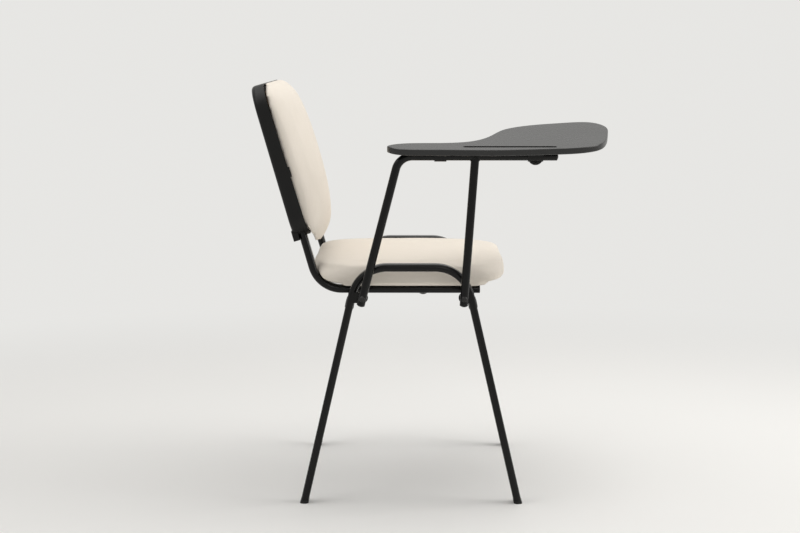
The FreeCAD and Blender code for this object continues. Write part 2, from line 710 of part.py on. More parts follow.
# Outline as (share of the length, share of the reach from the rail axis to that side)
outer_edge = [(0.0, 0.3), (0.035, 0.72), (0.185, 0.94), (0.445, 1.0), (0.705, 0.76), (0.85, 0.46)]
inner_edge = [
    (0.925, 0.01), (0.968, 0.19), (0.998, 0.54), (0.995, 0.85), (0.94, 0.99), (0.81, 0.965),
    (0.65, 0.85), (0.535, 0.68), (0.45, 0.35), (0.36, 0.15), (0.22, 0.09), (0.07, 0.07), (0.018, 0.02),
]
shares = [(a, -b * tablet_outer) for a, b in outer_edge] + [(a, b * tablet_inner) for a, b in inner_edge]
outline = [Vector(tablet_start + a * tablet_length, y, tablet_lift) for a, y in shares]
curve = Part.BSplineCurve()
curve.interpolate(outline, True)
tablet = Part.Face(Part.Wire([curve.toShape()])).extrude(z_axis * tablet_thickness)
tablet_edges = [edge for edge in tablet.Edges if edge.BoundBox.ZLength < tablet_thickness / 2]
tablet = tablet.makeFillet(tablet_round, tablet_edges)
groove_low = (tablet_start + groove_start, -groove_offset - groove_width / 2)
groove_high = (groove_low[0] + groove_length, -groove_offset + groove_width / 2)
groove_ends = (groove_width * 0.49, groove_width * 0.49)
tablet_top = tablet_lift + tablet_thickness
groove = rounded_plate(groove_low, groove_high, groove_ends, tablet_top - groove_depth, 2 * groove_depth)
tablet = tablet.cut(groove)

bush_inner = arm_radius + hinge_running
bush_outer = bush_inner + bush_wall
strap_inner = bush_outer + bush_seat
strap_outer = strap_inner + strap_wall
flange_reach = strap_outer + strap_flange


def hinge_strap(start, width):
    # Bent strip: round under the rail, straight sides, and two flanges against the tablet
    origin = Vector(start, 0, 0)
    sides = block(origin + Vector(0, -strap_outer, 0), origin + Vector(width, strap_outer, tablet_lift))
    flange_low = origin + Vector(0, -flange_reach, tablet_lift - strap_wall)
    flanges = block(flange_low, origin + Vector(width, flange_reach, tablet_lift))
    strap = rod(origin, x_axis, width, strap_outer).common(block(
        origin + Vector(0, -strap_outer, -strap_outer), origin + Vector(width, strap_outer, 0)))
    strap = strap.fuse(sides).fuse(flanges)
    space = block(origin + Vector(0, -strap_inner, 0), origin + Vector(width, strap_inner, tablet_lift))
    return strap.cut(rod(origin, x_axis, width, strap_inner)).cut(space).removeSplitter()


strap_x = tablet_start + strap_start
clamp_x = rail_end.x - clamp_end_gap - clamp_width
strap = hinge_strap(strap_x, strap_width)
clamp = hinge_strap(clamp_x, clamp_width)
clamp_middle = Vector(clamp_x + clamp_width / 2, 0, 0)
lug_radius = clamp_width / 2
lug_reach = clamp_slit / 2 + clamp_lug
lug = rod(clamp_middle + Vector(0, -lug_reach, lug_radius - clamp_drop), y_axis, 2 * lug_reach, lug_radius)
lug_low = clamp_middle + Vector(-lug_radius, -lug_reach, -clamp_drop)
lug_high = clamp_middle + Vector(lug_radius, lug_reach, lug_radius - clamp_drop)
clamp = clamp.fuse(lug.common(block(lug_low, lug_high)))
clamp = clamp.cut(rod(Vector(clamp_x, 0, 0), x_axis, clamp_width, strap_inner))
slit_low = clamp_middle + Vector(-clamp_width, -clamp_slit / 2, -clamp_drop)
clamp = clamp.cut(block(slit_low, clamp_middle + Vector(clamp_width, clamp_slit / 2, 0)))
clamp_bore = clamp_middle + Vector(0, -room / 2, -clamp_bolt_drop)
clamp = clamp.cut(rod(clamp_bore, y_axis, room, clamp_bolt_radius + clamp_hole)).removeSplitter()
clamp_seat = clamp_middle + Vector(0, -lug_reach, -clamp_bolt_drop)
clamp_length = 2 * lug_reach + clamp_nut_height + bolt_end
clamp_head = (clamp_head_radius, clamp_head_height)
clamp_bolt = dome_bolt(clamp_seat, y_axis, clamp_length, clamp_bolt_radius, *clamp_head)
nut_seat = clamp_seat + y_axis * (2 * lug_reach)
clamp_bore_radius = clamp_bolt_radius + thread_clearance
clamp_nut = hex_nut(nut_seat, y_axis, clamp_nut_flats, clamp_nut_height, clamp_bore_radius)

tablet_screws = []
for name, start, width in (("rear", strap_x, strap_width), ("front", clamp_x, clamp_width)):
    origin = Vector(start, 0, 0)
    bush = rod(origin, x_axis, width, bush_outer).cut(rod(origin, x_axis, width, bush_inner))
    nodes["hinge_bush_" + name] = in_tablet(bush)
    for across in (-1, 1):
        for along in (-0.5, 0.5):
            x = start + width / 2 + along * screw_pitch
            seat = Vector(x, across * (strap_outer + screw_spread), tablet_lift - strap_wall)
            head = (screw_head_radius, screw_head)
            screw = dome_bolt(seat, z_axis, tablet_screw_length, screw_radius, *head)
            tablet_screws.append(in_tablet(screw))
            pilot = rod(seat, z_axis, tablet_screw_length, screw_radius + screw_hole)
            tablet = tablet.cut(pilot)
            strap = strap.cut(pilot)
            clamp = clamp.cut(pilot)
nodes["tablet_board"] = in_tablet(tablet)
nodes["hinge_strap"] = in_tablet(strap)
for half in clamp.Solids:
    side = "outer" if half.CenterOfMass.y < 0 else "inner"
    nodes["hinge_clamp_" + side] = in_tablet(half)
nodes["clamp_bolt"] = in_tablet(clamp_bolt)
nodes["clamp_nut"] = in_tablet(clamp_nut)
nodes["tablet_screws"] = Part.makeCompound(tablet_screws)

# Stop that the open tablet lies on, welded to the inner side of the arm rail
stop_x = post_top.x + stop_offset
stop_top = tablet_lift - buffer_gap - buffer_height
stop_low = Vector(stop_x - stop_width / 2, 0, stop_top - stop_thickness)
stop = in_tablet(block(stop_low, Vector(stop_x + stop_width / 2, stop_reach, stop_top)))
nodes["tablet_stop_plate"] = stop.cut(arm_solid)
buffer_foot = Vector(stop_x, buffer_reach, stop_top)
nodes["tablet_buffer"] = in_tablet(rod(buffer_foot, z_axis, buffer_height, buffer_radius))

# Move the chair so that the middle of its box stands over the origin, to the nearest tenth
box = Part.makeCompound(list(nodes.values())).optimalBoundingBox(False, False)
shift = Vector(-round(box.Center.x, 1), -round(box.Center.y, 1), 0)

os.makedirs("parts", exist_ok=True)
for name, shape in nodes.items():
    shape.translated(shift).exportStep("parts/" + name + ".step")
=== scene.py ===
import json
import math

import bpy
import numpy as np
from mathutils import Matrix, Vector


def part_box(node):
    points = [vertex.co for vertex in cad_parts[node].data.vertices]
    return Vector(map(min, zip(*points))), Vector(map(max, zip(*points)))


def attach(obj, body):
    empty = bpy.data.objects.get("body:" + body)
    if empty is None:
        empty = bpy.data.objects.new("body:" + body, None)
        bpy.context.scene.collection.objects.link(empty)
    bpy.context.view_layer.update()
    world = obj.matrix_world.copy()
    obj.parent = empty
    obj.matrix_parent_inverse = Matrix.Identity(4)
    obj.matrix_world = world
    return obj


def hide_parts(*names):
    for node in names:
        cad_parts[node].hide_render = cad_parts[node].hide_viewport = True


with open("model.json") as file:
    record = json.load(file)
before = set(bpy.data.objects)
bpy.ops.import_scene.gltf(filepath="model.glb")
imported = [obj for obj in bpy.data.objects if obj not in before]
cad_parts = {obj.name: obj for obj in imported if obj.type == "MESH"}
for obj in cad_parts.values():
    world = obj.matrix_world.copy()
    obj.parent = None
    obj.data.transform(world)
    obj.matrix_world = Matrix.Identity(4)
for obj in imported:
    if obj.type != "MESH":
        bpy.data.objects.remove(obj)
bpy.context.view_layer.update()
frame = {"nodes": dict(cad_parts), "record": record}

nodes = frame["nodes"]
scene = bpy.context.scene
legLow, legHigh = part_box("leg_frame_right")
_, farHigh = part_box("leg_frame_left")
# floor point between the four feet: the pieces below are written in metres from here
middle = np.array([(legLow[0] + legHigh[0]) / 2, (legLow[1] + farHigh[1]) / 2, 0.0])
print("frame loaded:", len(nodes), "nodes")


# a socket that can be used in Python sums; new() adds any node and gives back one of its outputs
class Wire:
    def __init__(self, tree, socket):
        self.tree = tree
        self.socket = socket

    def new(self, kind, settings=None, inputs=None, output=0):
        node = self.tree.nodes.new(kind)
        for key, value in (settings or {}).items():
            setattr(node, key, value)
        for key, value in (inputs or {}).items():
            if isinstance(value, Wire):
                self.tree.links.new(value.socket, node.inputs[key])
            else:
                node.inputs[key].default_value = value
        return Wire(self.tree, node.outputs[output] if node.outputs else None)

    def calc(self, operation, *values):
        return self.new("ShaderNodeMath", {"operation": operation}, dict(enumerate(values)))

    def __add__(self, other):
        return self.calc("ADD", self, other)

    def __radd__(self, other):
        return self.calc("ADD", other, self)

    def __sub__(self, other):
        return self.calc("SUBTRACT", self, other)

    def __rsub__(self, other):
        return self.calc("SUBTRACT", other, self)

    def __mul__(self, other):
        return self.calc("MULTIPLY", self, other)

    def __rmul__(self, other):
        return self.calc("MULTIPLY", other, self)

    def __truediv__(self, other):
        return self.calc("DIVIDE", self, other)

    def __rtruediv__(self, other):
        return self.calc("DIVIDE", other, self)

    def __pow__(self, other):
        return self.calc("POWER", self, other)

    def __gt__(self, other):
        return self.calc("GREATER_THAN", self, other)

    def __abs__(self):
        return self.calc("ABSOLUTE", self)

    def sine(self):
        return self.calc("SINE", self)

    def atLeast(self, other):
        return self.calc("MAXIMUM", self, other)

    def parts(self):
        return [self.new("ShaderNodeSeparateXYZ", {}, {0: self}, axis) for axis in range(3)]

    def noise(self, scale, detail, roughness=0.55):
        inputs = {"Vector": self, "Scale": scale, "Detail": detail, "Roughness": roughness}
        return self.new("ShaderNodeTexNoise", {}, inputs)

    def streaks(self, scales, detail, roughness=0.55):      # noise with a scale for each axis
        stretched = self.new("ShaderNodeMapping", {}, {"Vector": self, "Scale": scales})
        return stretched.noise(1.0, detail, roughness)

    def blend(self, low, high):     # colour mix with this value as its factor, sockets found by number
        inputs = {0: self, 6: (*low, 1.0), 7: (*high, 1.0)}
        return self.new("ShaderNodeMix", {"data_type": "RGBA"}, inputs, 2)

    def bump(self, strength, depth):
        return self.new("ShaderNodeBump", {}, {"Strength": strength, "Distance": depth, "Height": self})


def clearTree(owner):       # the owner is a material or the world
    owner.use_nodes = True
    owner.node_tree.nodes.clear()
    return Wire(owner.node_tree, None)


def makeMaterial(name, recipe):
    material = bpy.data.materials.new(name)
    base = clearTree(material)
    place = base.new("ShaderNodeTexCoord", {}, {}, "Object")
    shader = base.new("ShaderNodeBsdfPrincipled", {}, recipe(place))
    base.new("ShaderNodeOutputMaterial", {}, {"Surface": shader})
    return material


# in each finish a noise is its scale, detail and roughness, bump is strength and depth in metres,
# and rough is the least roughness and what each pattern adds to it

# powder coat: near-black, a satin film with a fine orange-peel skin and faint cloudy sheen
steelFinish = {
    "peel": (620.0, 2.0), "grit": (1900.0, 1.0), "gritShare": 0.4, "cloud": (14.0, 4.0),
    "dark": (0.0026, 0.0026, 0.0024), "pale": (0.0050, 0.0049, 0.0046),
    "rough": (0.15, 0.08, 0.05), "gloss": 0.24, "bump": (0.18, 0.0002),
}


def coatedSteel(place):
    peel = place.noise(*steelFinish["peel"])
    grit = place.noise(*steelFinish["grit"])
    cloud = place.noise(*steelFinish["cloud"])
    least, byCloud, byPeel = steelFinish["rough"]
    return {
        "Base Color": cloud.blend(steelFinish["dark"], steelFinish["pale"]),
        "Roughness": least + byCloud * cloud + byPeel * peel,
        "Specular IOR Level": steelFinish["gloss"],
        "Normal": (peel + steelFinish["gritShare"] * grit).bump(*steelFinish["bump"]),
    }


# moulded shell: spark-eroded grain, duller than the steel, with flow marks along its height
shellFinish = {
    "grain": (1500.0, 2.0, 0.6), "flow": ((30.0, 30.0, 5.0), 3.0),
    "dark": (0.0040, 0.0040, 0.0038), "pale": (0.0072, 0.0071, 0.0067),
    "rough": (0.26, 0.10, 0.06), "gloss": 0.25, "bump": (0.22, 0.00025),
}


def shellPlastic(place):
    grain = place.noise(*shellFinish["grain"])
    flow = place.streaks(*shellFinish["flow"])
    least, byFlow, byGrain = shellFinish["rough"]
    return {
        "Base Color": flow.blend(shellFinish["dark"], shellFinish["pale"]),
        "Roughness": least + byFlow * flow + byGrain * grain,
        "Specular IOR Level": shellFinish["gloss"],
        "Normal": grain.bump(*shellFinish["bump"]),
    }


# tablet: pebbled writing board, with faint rubbed streaks along its length
tabletFinish = {
    "pebble": 720.0, "soften": 0.6, "rub": ((9.0, 160.0, 60.0), 4.0), "rubShare": 0.25, "cloud": (11.0, 3.0),
    "dark": (0.0070, 0.0070, 0.0068), "pale": (0.0115, 0.0114, 0.0110),
    "rough": (0.20, 0.08, 0.06), "gloss": 0.54, "bump": (0.03, 0.00012),
}


def tabletPlastic(place):
    inputs = {"Vector": place, "Scale": tabletFinish["pebble"], "Smoothness": tabletFinish["soften"]}
    pebble = place.new("ShaderNodeTexVoronoi", {"feature": "SMOOTH_F1"}, inputs)
    rub = place.streaks(*tabletFinish["rub"])
    cloud = place.noise(*tabletFinish["cloud"])
    least, byCloud, byRub = tabletFinish["rough"]
    return {
        "Base Color": cloud.blend(tabletFinish["dark"], tabletFinish["pale"]),
        "Roughness": least + byCloud * cloud + byRub * rub,
        "Specular IOR Level": tabletFinish["gloss"],
        "Normal": (pebble + tabletFinish["rubShare"] * rub).bump(*tabletFinish["bump"]),
    }


# soft-touch plugs and feet, with scuffs low down where they meet the floor
plugFinish = {
    "grain": (1100.0, 2.0), "scuff": (85.0, 5.0, 0.7), "scuffFrom": 0.58, "scuffHeight": 0.025,
    "clean": (0.0070, 0.0070, 0.0070), "scuffed": (0.030, 0.029, 0.027),
    "rough": (0.44, 0.10, 0.05), "gloss": 0.3, "bump": (0.16, 0.0002),
}


def plugPlastic(place):
    grain = place.noise(*plugFinish["grain"])
    scuff = place.noise(*plugFinish["scuff"])
    low = (1.0 - (1.0 / plugFinish["scuffHeight"]) * place.parts()[2]).atLeast(0.0)
    worn = (scuff > plugFinish["scuffFrom"]) * low
    least, byScuff, byGrain = plugFinish["rough"]
    return {
        "Base Color": worn.blend(plugFinish["clean"], plugFinish["scuffed"]),
        "Roughness": least + byScuff * scuff + byGrain * grain,
        "Specular IOR Level": plugFinish["gloss"],
        "Normal": grain.bump(*plugFinish["bump"]),
    }


# cream cloth: plain weave read on the two axes that lie in the surface, with mottled yarn and fuzz
clothFinish = {
    "yarn": 0.00115, "sharpness": 4.0, "slub": (260.0, 4.0, 0.65), "mottle": (38.0, 4.0, 0.6), "fuzz": 0.9,
    "pale": (0.906, 0.843, 0.760), "deep": (0.786, 0.714, 0.614),
    "tone": (0.20, 0.34, 0.22, 0.24),       # the least, and what mottle, slub and weave add
    "rough": (0.86, 0.10), "gloss": 0.22, "bump": (0.30, 0.00035),
    "sheen": 0.18, "sheenRough": 0.45, "sheenTint": (1.0, 0.95, 0.88),
}


# over and under: where the two waves agree the first yarn is on top, elsewhere the second
def weave(first, second):
    over = (first * second) > 0.0
    return over * abs(first) + (1.0 - over) * abs(second)


def creamCloth(place):
    # which way the surface faces, stored by dressCushion
    facing = place.new("ShaderNodeAttribute", {"attribute_name": "facing"}, {}, "Vector")
    weights = [abs(part) ** clothFinish["sharpness"] for part in facing.parts()]
    total = weights[0] + weights[1] + weights[2]
    waves = [(part * (math.pi / clothFinish["yarn"])).sine() for part in place.parts()]
    height = (weights[0] * weave(waves[1], waves[2]) + weights[1] * weave(waves[0], waves[2])
              + weights[2] * weave(waves[0], waves[1])) / total
    slub = place.noise(*clothFinish["slub"])
    mottle = place.noise(*clothFinish["mottle"])
    leastTone, byMottle, bySlub, byWeave = clothFinish["tone"]
    tone = leastTone + byMottle * mottle + bySlub * slub + byWeave * height
    least, added = clothFinish["rough"]
    return {
        "Base Color": tone.blend(clothFinish["deep"], clothFinish["pale"]),
        "Roughness": least + added * slub,
        "Specular IOR Level": clothFinish["gloss"],
        "Sheen Weight": clothFinish["sheen"],
        "Sheen Roughness": clothFinish["sheenRough"],
        "Sheen Tint": (*clothFinish["sheenTint"], 1.0),
        "Normal": (height + clothFinish["fuzz"] * slub).bump(*clothFinish["bump"]),
    }


# spun dust cloth under the seat: matted fibres with a grid of pressed dimples
dustFinish = {
    "fibre": ((900.0, 260.0, 900.0), 4.0), "dimpleShare": 0.6,
    "dimples": 1050.0,      # radians for each metre
    "dark": (0.008, 0.008, 0.008), "pale": (0.034, 0.034, 0.033),
    "rough": (0.82, 0.14), "bump": (0.30, 0.0003),
}


def dustCloth(place):
    fibre = place.streaks(*dustFinish["fibre"])
    along, across = [abs((part * dustFinish["dimples"]).sine()) for part in place.parts()[:2]]
    least, added = dustFinish["rough"]
    return {
        "Base Color": fibre.blend(dustFinish["dark"], dustFinish["pale"]),
        "Roughness": least + added * fibre,
        "Normal": (fibre + dustFinish["dimpleShare"] * (along * across)).bump(*dustFinish["bump"]),
    }


# blackened bolts and screws: thin oxide over turned metal
fixingFinish = {
    "turned": (900.0, 3.0), "dark": (0.014, 0.014, 0.014), "pale": (0.038, 0.037, 0.035),
    "metal": 0.55, "rough": (0.28, 0.16), "bump": (0.10, 0.0001),
}


def blackFixing(place):
    turned = place.noise(*fixingFinish["turned"])
    least, added = fixingFinish["rough"]
    return {
        "Base Color": turned.blend(fixingFinish["dark"], fixingFinish["pale"]),
        "Metallic": fixingFinish["metal"],
        "Roughness": least + added * turned,
        "Normal": turned.bump(*fixingFinish["bump"]),
    }


# bright zinc: spangled plating
zincFinish = {
    "spangle": 420.0, "skin": (700.0, 2.0), "dark": (0.46, 0.46, 0.45), "pale": (0.66, 0.66, 0.64),
    "metal": 1.0, "rough": (0.24, 0.18), "bump": (0.08, 0.0001),
}


def zincSteel(place):
    inputs = {"Vector": place, "Scale": zincFinish["spangle"]}
    shade = place.new("ShaderNodeTexVoronoi", {}, inputs, "Color").parts()[0]
    least, added = zincFinish["rough"]
    return {
        "Base Color": shade.blend(zincFinish["dark"], zincFinish["pale"]),
        "Metallic": zincFinish["metal"],
        "Roughness": least + added * shade,
        "Normal": place.noise(*zincFinish["skin"]).bump(*zincFinish["bump"]),
    }


# hinge bushes: off-white nylon, slightly greyed by use
nylonFinish = {
    "grime": (120.0, 4.0), "skin": (1300.0, 2.0),
    "clean": (0.62, 0.61, 0.57), "greyed": (0.40, 0.39, 0.36), "rough": (0.40, 0.14), "bump": (0.08, 0.0001),
}


def bushNylon(place):
    grime = place.noise(*nylonFinish["grime"])
    least, added = nylonFinish["rough"]
    return {
        "Base Color": grime.blend(nylonFinish["clean"], nylonFinish["greyed"]),
        "Roughness": least + added * grime,
        "Normal": place.noise(*nylonFinish["skin"]).bump(*nylonFinish["bump"]),
    }


# boards inside the cushions: rotary-cut ply with long grain
plyFinish = {
    "grain": ((40.0, 5.0, 160.0), 6.0, 0.6), "pale": (0.56, 0.40, 0.24), "dark": (0.34, 0.21, 0.11),
    "rough": (0.62, 0.16), "bump": (0.2, 0.0003),
}


def plyBoard(place):
    grain = place.streaks(*plyFinish["grain"])
    least, added = plyFinish["rough"]
    return {
        "Base Color": grain.blend(plyFinish["pale"], plyFinish["dark"]),
        "Roughness": least + added * grain,
        "Normal": grain.bump(*plyFinish["bump"]),
    }


# rubber stop: dull, with a dusty bloom
rubberFinish = {
    "bloom": (210.0, 5.0), "skin": (1600.0, 2.0),
    "dark": (0.010, 0.010, 0.010), "dusty": (0.046, 0.045, 0.043),
    "rough": (0.70, 0.20), "bump": (0.18, 0.0002),
}


def stopRubber(place):
    bloom = place.noise(*rubberFinish["bloom"])
    least, added = rubberFinish["rough"]
    return {
        "Base Color": bloom.blend(rubberFinish["dark"], rubberFinish["dusty"]),
        "Roughness": least + added * bloom,
        "Normal": place.noise(*rubberFinish["skin"]).bump(*rubberFinish["bump"]),
    }


finishes = {
    "black_steel": makeMaterial("coatedSteel", coatedSteel),
    "black_plastic": makeMaterial("plugPlastic", plugPlastic),
    "shell_plastic": makeMaterial("shellPlastic", shellPlastic),
    "tablet_plastic": makeMaterial("tabletPlastic", tabletPlastic),
    "bush_nylon": makeMaterial("bushNylon", bushNylon),
    "cream_cloth": makeMaterial("creamCloth", creamCloth),
    "plywood": makeMaterial("plyBoard", plyBoard),
    "dust_cloth": makeMaterial("dustCloth", dustCloth),
    "black_fixings": makeMaterial("blackFixing", blackFixing),
    "zinc_steel": makeMaterial("zincSteel", zincSteel),
    "buffer_rubber": makeMaterial("stopRubber", stopRubber),
}
finishes["foam"] = finishes["cream_cloth"]      # both foams are stood for by the cushions
for entry in frame["record"]["subparts"]:
    for materialSlot in nodes[entry["node"]].material_slots:
        materialSlot.material = finishes[entry["material_slot"]]
print("finishes:", len(finishes))


# faces over a grid of rings: each ring closes on itself, and the rings join end to end or are capped
def ringFaces(rows, columns, endless):
    i = np.arange(rows if endless else rows - 1)[:, None]
    j = np.arange(columns)[None, :]
    nextI, nextJ = (i + 1) % rows, (j + 1) % columns
    corners = (i * columns + j, nextI * columns + j, nextI * columns + nextJ, i * columns + nextJ)
    faces = np.stack(corners, axis=-1).reshape(-1, 4).tolist()
    if not endless:
        lastRing = range((rows - 1) * columns, rows * columns)
        faces += [list(range(columns)), list(reversed(lastRing))]
    return faces


def meshPiece(name, points, faces, material):
    mesh = bpy.data.meshes.new(name)
    mesh.from_pydata(points.tolist(), [], faces)
    mesh.polygons.foreach_set("use_smooth", np.ones(len(mesh.polygons), dtype=bool))
    mesh.materials.append(material)
    piece = bpy.data.objects.new(name, mesh)
    scene.collection.objects.link(piece)
    return piece


def gridPiece(name, points, endless, material):
    rows, columns = points.shape[:2]
    return meshPiece(name, points.reshape(-1, 3), ringFaces(rows, columns, endless), material)


def seated(piece):
    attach(piece, "chair")


# eased ramp from 0 to 1 between two places
def smooth(place, start, end):
    ramp = np.clip((place - start) / (end - start), 0.0, 1.0)
    return ramp ** 2 * (3.0 - 2.0 * ramp)


# a superellipse quarter: full height at share 0, none at share 1
def closing(share, power):
    return (1.0 - share ** power) ** (1.0 / power)


# what both cushions share: the grid, the foam left out for the cloth to swell into, and the cloth itself
padding = {
    "across": 97, "around": 240, "inset": 0.0030, "insetRise": 0.012,
    "quality": 4, "mass": 0.25, "stretch": 9.0, "shear": 3.0, "bending": 10.0, "pressure": 4.0,
    "frames": 20, "even": 8, "cap": 0.0036,     # times that the moves are evened out, and the longest move
}


# side outline of a cushion: from one nose over the top to the other and back below, in four superellipse
# quarters, each of its own power; the top falls with the square of the way to a nose, and below it rests
# on a flat, which steps up by a smooth ramp where the cushion hangs over an edge
def cushionOutline(cushion):
    (start, startUp), (end, endUp) = cushion["noses"]
    half = padding["around"] // 2
    share = np.cos(np.linspace(0.0, math.pi, half, endpoint=False))
    share = np.concatenate([-share, share])
    over = np.arange(len(share)) < half
    along = (start + end) / 2 + share * (end - start) / 2
    nose = np.interp(share, (-1.0, 1.0), (startUp, endUp))
    first = share < 0
    top = cushion["top"] - np.where(first, *cushion["fall"]) * share ** 2
    edge, ease, step = cushion["step"]
    low = cushion["flat"] + step * smooth(along, edge + ease, edge - ease)
    power = np.where(over, np.where(first, *cushion["over"]), np.where(first, *cushion["below"]))
    up = nose + (np.where(over, top, low) - nose) * closing(np.abs(share), power)
    return np.stack([along, up], axis=1)


# cushion: the outline carried across the width and drawn in towards the sides so that the plan is a
# superellipse, of one power low down and another above; what lies above the nose level falls by a crown
# and closes on that level by a superellipse, and what lies below closes on it by another
def cushionForm(cushion):
    outline = cushionOutline(cushion)
    heading = np.roll(outline, -1, axis=0) - np.roll(outline, 1, axis=0)
    normal = np.stack([-heading[:, 1], heading[:, 0]], axis=1) / np.linalg.norm(heading, axis=1)[:, None]
    free = np.clip((outline[:, 1] - cushion["flat"]) / padding["insetRise"], 0.0, 1.0)[:, None]
    outline = outline - normal * free * padding["inset"]
    half = cushion["half"] - padding["inset"]
    y = half * np.sin(np.linspace(-0.5, 0.5, padding["across"]) * math.pi)[:, None]
    share = np.abs(y) / half
    start, end = outline[:, 0].min(), outline[:, 0].max()
    off = outline[None, :, 1] - cushion["nose"]
    crown = np.interp(outline[None, :, 0], (start, end), cushion["crown"]) * share ** 2
    lowPlan, highPlan = cushion["plan"]
    plan = lowPlan + (highPlan - lowPlan) * smooth(off, *cushion["planEase"])
    along = (start + end) / 2 + (outline[None, :, 0] - (start + end) / 2) * closing(share, plan)
    above, below = closing(share, cushion["side"]) * (1.0 - crown), closing(share, cushion["under"])
    up = cushion["nose"] + off * np.where(off > 0, above, below)
    return np.stack([along, np.broadcast_to(y, along.shape), up], axis=-1)


def readPoints(mesh):
    points = np.empty(len(mesh.vertices) * 3)
    mesh.vertices.foreach_get("co", points)
    return points.reshape(-1, 3)


# cloth blown up by pressure for some frames, with the held points pinned; gives back where its points end
def blowUp(piece, held):
    group = piece.vertex_groups.new(name="held")
    group.add(np.nonzero(held)[0].tolist(), 1.0, "REPLACE")
    cloth = piece.modifiers.new("cover", "CLOTH")
    cloth.settings.vertex_group_mass = "held"
    cloth.settings.quality = padding["quality"]
    cloth.settings.mass = padding["mass"]
    cloth.settings.tension_stiffness = padding["stretch"]
    cloth.settings.compression_stiffness = padding["stretch"]
    cloth.settings.shear_stiffness = padding["shear"]
    cloth.settings.bending_stiffness = padding["bending"]
    cloth.settings.use_pressure = True
    cloth.settings.uniform_pressure_force = padding["pressure"]
    cloth.settings.effector_weights.gravity = 0.0
    cloth.collision_settings.use_collision = False
    cloth.collision_settings.use_self_collision = False
    for moment in range(1, padding["frames"] + 1):
        scene.frame_set(moment)
    blown = readPoints(piece.evaluated_get(bpy.context.evaluated_depsgraph_get()).data)
    piece.modifiers.remove(cloth)
    piece.vertex_groups.clear()
    scene.frame_set(1)
    return blown


# cloth over foam: remesh the form, hold what is stapled down, blow the rest up and cap each move
def puffUp(form, cushion, isHeld):
    remesh = form.modifiers.new("even", "REMESH")
    remesh.mode = "VOXEL"
    remesh.voxel_size = cushion["voxel"]
    mesh = bpy.data.meshes.new_from_object(form.evaluated_get(bpy.context.evaluated_depsgraph_get()))
    bpy.data.objects.remove(form)
    mesh.name = cushion["name"]
    piece = bpy.data.objects.new(cushion["name"], mesh)
    scene.collection.objects.link(piece)
    before = readPoints(mesh)
    count = len(before)
    after = blowUp(piece, isHeld(before))
    move = after - before
    edges = np.empty(len(mesh.edges) * 2, dtype=np.int32)
    mesh.edges.foreach_get("vertices", edges)
    one, two = edges.reshape(-1, 2).T
    near = np.bincount(edges, minlength=count)[:, None]
    # creases ironed out: each move becomes the mean of its neighbours' moves
    for _ in range(padding["even"]):
        total = [np.bincount(one, move[two, axis], count) + np.bincount(two, move[one, axis], count)
                 for axis in range(3)]
        move = np.stack(total, axis=1) / near
    far = np.linalg.norm(move, axis=1, keepdims=True)
    print(cushion["name"], count, "points, moved up to", round(float(far.max()) * 1000, 1), "mm")
    return piece, before + move * (padding["cap"] / np.maximum(far, padding["cap"]))


def dressCushion(piece, points, stands):
    mesh = piece.data
    mesh.vertices.foreach_set("co", points.ravel())
    mesh.polygons.foreach_set("use_smooth", np.ones(len(mesh.polygons), dtype=bool))
    mesh.update()
    facing = np.empty(points.size)      # the weave lies on the axes that this is square to
    mesh.vertex_normals.foreach_get("vector", facing)
    mesh.attributes.new("facing", "FLOAT_VECTOR", "POINT").data.foreach_set("vector", facing)
    mesh.materials.clear()
    mesh.materials.append(finishes["cream_cloth"])
    fine = piece.modifiers.new("fine", "SUBSURF")
    fine.levels = fine.render_levels = 1
    seated(piece)
    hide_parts(*stands)


# seat: outline as (forward, up) seen from the side, lying on the rails and turned up into their bend
seatCushion = {
    "name": "seatCushion", "voxel": 0.0058, "half": 0.2330, "widest": 0.2375,
    "noses": ((-0.2015, 0.4628), (0.1915, 0.4600)), "top": 0.4780, "fall": (0.0026, 0.0042),
    "over": (4.2, 4.2), "below": (5.4, 5.2),    # powers of the outline's quarters, rear and front
    "flat": 0.4245, "step": (-1.0, 0.002, 0.0),     # no step in its flat underside
    "plan": (12.0, 4.8), "planEase": (-0.026, 0.012), "side": 6.0, "under": 14.0, "nose": 0.452,
    "crown": (0.13, 0.13),
    "held": 0.004,      # stapled down up to here above the flat
    "hemRise": 0.016, "hemReach": 0.03, "hemDepth": 0.0012, "hemPitch": 0.034,
    "bend": (-0.1366, 0.4765, 0.0515),      # the rails' bend: forward, up, and the reach inside it
    "rail": (0.2, 0.024),       # a rail's place across, and the half width kept clear of it
    "board": (-0.135, 0.150, 0.2225), "boardRise": 0.007,   # rear, front and half width, just covered
}


